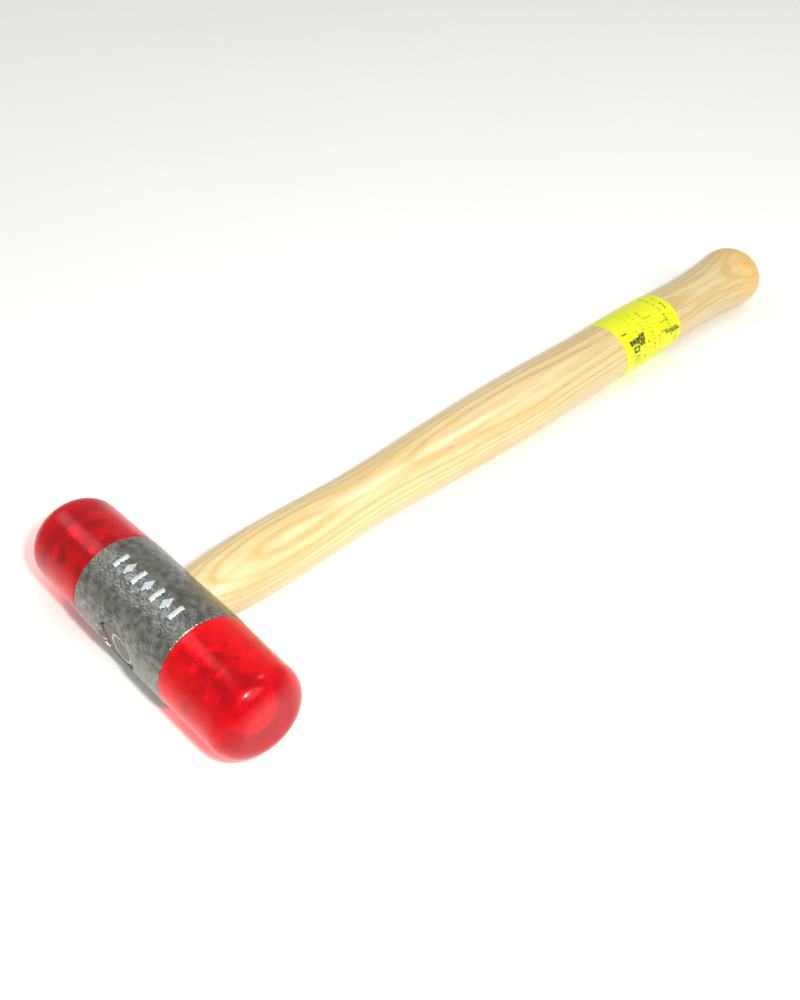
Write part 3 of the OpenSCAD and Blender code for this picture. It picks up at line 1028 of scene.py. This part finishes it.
def make_stud(name, side):
    thread = blank_piece(name)
    modifier_inputs(
        thread,
        screw_thread_tree(),
        {
            "Length": THREAD_LENGTH - 0.1 * MM,
            "Pitch": THREAD_PITCH,
            "Crest Radius": THREAD_RADIUS,
            "Depth": THREAD_DEPTH,
            "Rings": THREAD_RINGS,
            "Sides": THREAD_SIDES,
            "Material": steel,
        },
    )
    bake_modifiers(thread)
    closed = bmesh.new()
    closed.from_mesh(thread.data)
    bmesh.ops.holes_fill(closed, edges=[e for e in closed.edges if e.is_boundary])
    bmesh.ops.recalc_face_normals(closed, faces=closed.faces)
    closed.transform(Matrix.Translation((0, 0, -THREAD_LENGTH)))
    closed.to_mesh(thread.data)
    closed.free()

    sides = KNURLS * 6
    points, faces = turned(shank_outline(), sides)
    for point in points:
        radius = math.hypot(point.x, point.y)
        on_collar = COLLAR_RADIUS - 0.3 * MM < radius <= COLLAR_RADIUS + 0.01 * MM
        if on_collar and point.z < ANCHOR_TOP - ANCHOR_THICK:
            ridge = abs(math.sin(KNURLS / 2 * math.atan2(point.y, point.x)))
            shrink = 1 - KNURL_DEPTH / radius * (1 - ridge)
            point.x *= shrink
            point.y *= shrink
    shank = mesh_piece("shank", points, faces, Matrix.Identity(4))
    outwards(shank)
    combine(thread, shank, "UNION")
    thread.data.transform(on_end(side))
    return thread


steel = stud_steel_material()
for end_name, side in (("front", 1), ("back", -1)):
    stud = make_stud(f"{end_name}_screw_stud", side)
    finish_with(stud, steel)
    smooth(stud, 30)
    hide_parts(f"{end_name}_stud")
    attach(stud, f"{end_name}_striker")


# ---------------------------------------------------------------------------------------------
# Faces. Clear red cellulose acetate, moulded round the studs, then turned and polished. The
# flat that strikes runs into a wide rounded edge.
# ---------------------------------------------------------------------------------------------
FACE_RADIUS = 16 * MM
FACE_LENGTH = face_high.x - face_low.x
FACE_TIP_RADIUS = 15.6 * MM
FACE_EDGE_RADIUS = 7.5 * MM
FACE_SIDES = 160
FACE_GAP = 0.02 * MM
ABSORPTION_PER_METRE = 190.0


def acetate_material():
    """Clear red acetate that lets lamps through, tinted, so that the studs inside are lit."""
    material, wire, shader, place = new_material("red_acetate")
    marks = add_marks(wire, place, 110.0, 1500.0)
    shader.inputs["Transmission Weight"].default_value = 0.8
    shader.inputs["IOR"].default_value = 1.42
    shader.inputs["Metallic"].default_value = 0.0
    haze = wire.add("ShaderNodeTexNoise", {"Vector": place, "Scale": 160.0, "Detail": 3.0})
    hazy = wire.ramp(haze, (0.35, 0.0), (0.7, 1.0))
    tint = wire.blend(hazy, (0.9, 0.006, 0.028, 1), (0.78, 0.002, 0.012, 1))
    wire.feed(shader.inputs["Base Color"], tint)
    rough = wire.maths("MULTIPLY_ADD", marks.outputs["Smudge"], 0.05, 0.2)
    wire.feed(shader.inputs["Roughness"], rough)
    shader.inputs["Specular IOR Level"].default_value = 0.12
    shader.inputs["Specular Tint"].default_value = (1.0, 0.25, 0.3, 1)
    shader.inputs["Coat Weight"].default_value = 0.12
    shader.inputs["Coat Roughness"].default_value = 0.03
    ripple = wire.add("ShaderNodeTexNoise", {"Vector": place, "Scale": 220.0, "Detail": 1.0})
    height = wire.maths("SUBTRACT", ripple, wire.maths("MULTIPLY", marks.outputs["Scratch"], 0.08))
    bump = wire.add("ShaderNodeBump", {"Strength": 0.35, "Distance": 0.08 * MM, "Height": height})
    wire.feed(shader.inputs["Normal"], bump)
    lamps_through = wire.add("ShaderNodeBsdfTransparent", {"Color": (1.0, 0.6, 0.6, 1)})
    path = wire.add("ShaderNodeLightPath")
    choose = wire.add("ShaderNodeMixShader")
    wire.feed(choose.inputs[0], path.outputs["Is Shadow Ray"])
    wire.feed(choose.inputs[1], shader.outputs[0])
    wire.feed(choose.inputs[2], lamps_through.outputs[0])
    absorbed = {"Color": (0.96, 0.0, 0.06, 1), "Density": ABSORPTION_PER_METRE}
    depth = wire.add("ShaderNodeVolumeAbsorption", absorbed)
    out = material.node_tree.nodes["Material Output"]
    wire.feed(out.inputs["Surface"], choose.outputs[0])
    wire.feed(out.inputs["Volume"], depth.outputs[0])
    return material


def make_face(name, side):
    foot = 0.4 * MM
    flat = FACE_TIP_RADIUS - FACE_EDGE_RADIUS
    outline = [(0, FACE_GAP), (FACE_RADIUS * 0.5, FACE_GAP), (FACE_RADIUS - foot - 0.1 * MM, FACE_GAP)]
    outline += rounded(foot, FACE_RADIUS - foot, FACE_GAP + foot, -90, 0, 4)
    side_rings = 14
    low, high = FACE_GAP + foot, FACE_LENGTH - FACE_EDGE_RADIUS
    for k in range(1, side_rings):
        share = k / side_rings
        radius = FACE_RADIUS + (FACE_TIP_RADIUS - FACE_RADIUS) * share
        outline.append((radius, low + (high - low) * share))
    outline += rounded(FACE_EDGE_RADIUS, flat, high, 0, 90, 28)
    outline += [(flat * 0.66, FACE_LENGTH), (flat * 0.33, FACE_LENGTH), (0, FACE_LENGTH)]
    points, faces = turned(outline, FACE_SIDES, Matrix.Identity(4))
    face = mesh_piece(name, points, faces, on_end(side))
    outwards(face)
    return face


acetate = acetate_material()
for end_name, side in (("front", 1), ("back", -1)):
    face = make_face(f"{end_name}_acetate_face", side)
    finish_with(face, acetate)
    smooth(face, 40)
    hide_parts(f"{end_name}_face")
    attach(face, f"{end_name}_striker")


# ---------------------------------------------------------------------------------------------
# Table, lamps and camera. A pale table, soft lamps on the left, on the right and beyond the
# handle, and a small one beside the camera, which looks along the handle from above the front.
# ---------------------------------------------------------------------------------------------
CAMERA_AT = Vector((214.3, -100.0, 249.7)) * MM
CAMERA_AIM = Vector((9.64, 90.4, 0.0)) * MM
CAMERA_LENS = 39.6
TABLE_SIZE = 6.0


def table_material():
    """Pale matt laminate with a trace of mottling."""
    material, wire, shader, place = new_material("pale_table")
    cloud = wire.add("ShaderNodeTexNoise", {"Vector": place, "Scale": 9.0, "Detail": 3.0})
    colour = wire.blend(cloud, (0.93, 0.93, 0.93, 1), (0.96, 0.96, 0.955, 1))
    wire.feed(shader.inputs["Base Color"], colour)
    shader.inputs["Roughness"].default_value = 0.65
    shader.inputs["Specular IOR Level"].default_value = 0.2
    return material


def look(obj, place, aim):
    obj.location = place
    obj.rotation_mode = "QUATERNION"
    obj.rotation_quaternion = (aim - place).to_track_quat("-Z", "Y")


def soft_lamp(name, place, aim, size, power):
    data = bpy.data.lights.new(name, "AREA")
    data.shape = "DISK"
    data.size = size
    data.energy = power
    lamp = bpy.data.objects.new(name, data)
    bpy.context.scene.collection.objects.link(lamp)
    look(lamp, place, aim)
    return lamp


half = TABLE_SIZE / 2
table = mesh_piece(
    "table",
    [(-half, -half, 0), (half, -half, 0), (half, half, 0), (-half, half, 0)],
    [(0, 1, 2, 3)],
    Matrix.Identity(4),
)
finish_with(table, table_material())

camera_at = head_to_row @ CAMERA_AT
camera_aim = head_to_row @ CAMERA_AIM
camera_data = bpy.data.cameras.new("camera")
camera_data.lens = CAMERA_LENS
camera_data.sensor_width = 36
camera_data.clip_start = 0.01
camera = bpy.data.objects.new("camera", camera_data)
bpy.context.scene.collection.objects.link(camera)
look(camera, CAMERA_AT, CAMERA_AIM)
camera.location = camera_at
camera.rotation_quaternion = head_to_row.to_quaternion() @ camera.rotation_quaternion
bpy.context.scene.camera = camera


def lamp_towards(name, direction, distance, size, power, colour):
    """A soft lamp, seen from the hammer's middle in a direction."""
    middle = Vector((0, -0.05, 0.02))
    lamp = soft_lamp(name, middle + Vector(direction).normalized() * distance, middle, size, power)
    lamp.data.color = colour


beside_camera = camera_at + camera.rotation_quaternion @ Vector((0.05, 0.03, 0))
flash = soft_lamp("flash", beside_camera, camera_aim, 0.03, 1.15)
flash.data.color = (1.0, 0.97, 0.93)
lamp_towards("right_lamp", (0.75, 0.05, 0.65), 1.2, 0.7, 4.5, (0.95, 0.98, 1.0))
lamp_towards("left_lamp", (-0.64, -0.2, 0.72), 1.0, 0.42, 1.1, (0.84, 0.93, 1.0))
lamp_towards("far_lamp", (0.12, 0.5, 0.83), 1.0, 0.25, 1.2, (0.92, 0.96, 1.0))

world = bpy.data.worlds.new("room")
world.use_nodes = True
world.node_tree.nodes["Background"].inputs["Color"].default_value = (1.0, 0.99, 0.92, 1)
world.node_tree.nodes["Background"].inputs["Strength"].default_value = 0.58
bpy.context.scene.world = world
bpy.context.scene.view_settings.view_transform = "Standard"
